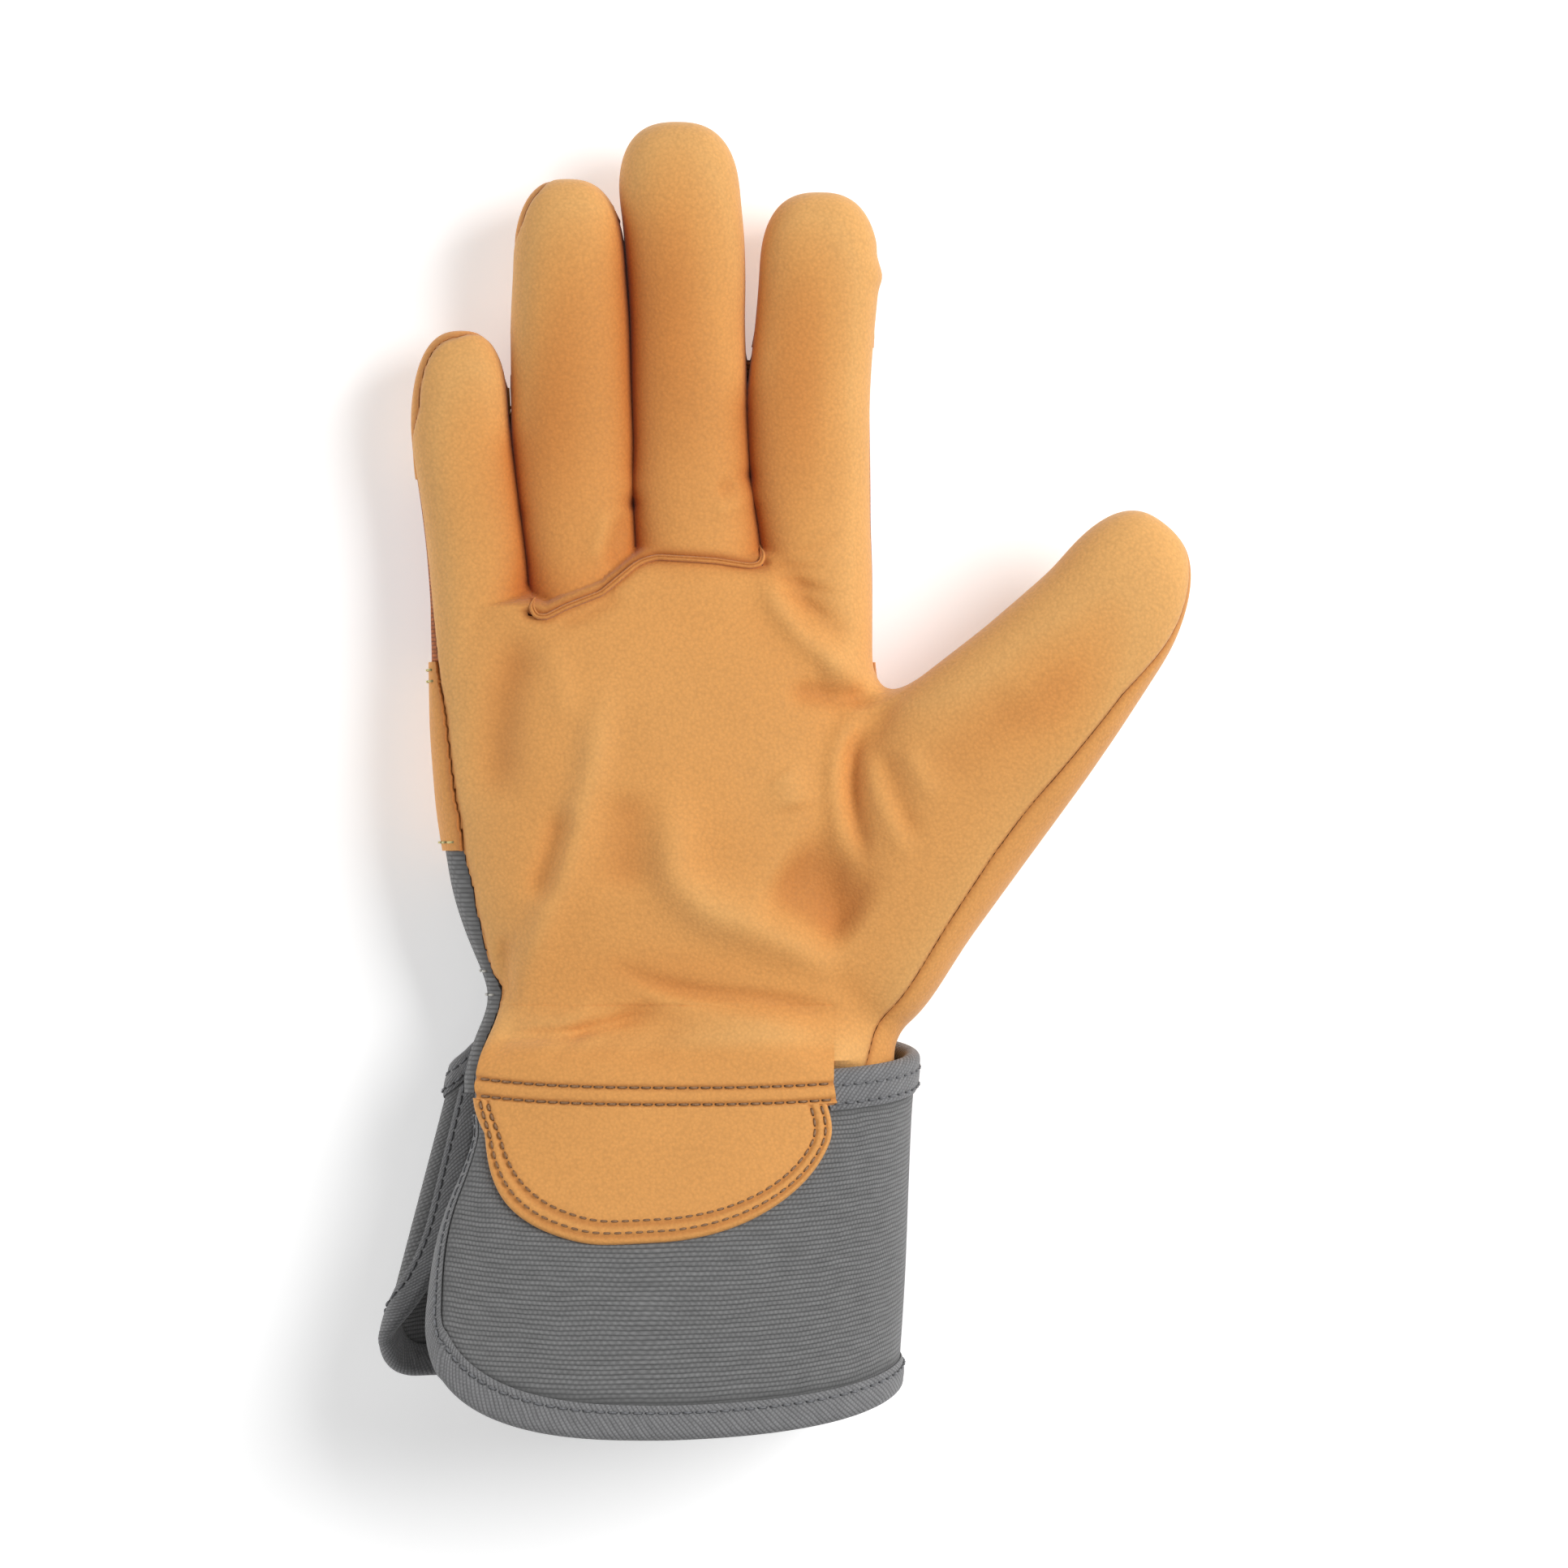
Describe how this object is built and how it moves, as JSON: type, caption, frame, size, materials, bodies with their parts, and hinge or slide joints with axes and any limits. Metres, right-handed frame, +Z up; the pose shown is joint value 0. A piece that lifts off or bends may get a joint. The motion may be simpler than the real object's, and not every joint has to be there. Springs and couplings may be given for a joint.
{
  "type": "leather work glove",
  "caption": "Right-hand work glove of soft tan leather with a canvas back, a knuckle strap and a flared safety cuff, lying palm up; hollow, open at the cuff.",
  "frame": {"origin": "on the surface that the glove lies on, under the middle of its outline", "axes": "+Y towards the fingertips, +X towards the thumb, +Z up, out of the palm"},
  "size_m": [0.1719, 0.2803, 0.0594],
  "materials": {
    "leather": "brushed microfibre leather, matt",
    "grey_canvas": "plain-woven duck canvas",
    "grey_tape": "folded canvas tape",
    "rust_canvas": "plain-woven duck canvas"
  },
  "bodies": {
    "root": {"palm_panel": "leather", "ring_finger_front": "leather", "middle_finger_front": "leather", "finger_welt": "leather", "thumb_back": "leather", "little_fingertip_back": "leather", "ring_fingertip_back": "leather", "middle_fingertip_back": "leather", "index_fingertip_back": "leather", "finger_backs": "rust_canvas", "knuckle_strap": "leather", "hand_back": "grey_canvas", "cuff_panel": "grey_canvas", "cuff_top_binding": "grey_tape", "cuff_edge_binding": "grey_tape", "pulse_patch": "leather"}
  },
  "joints": []
}
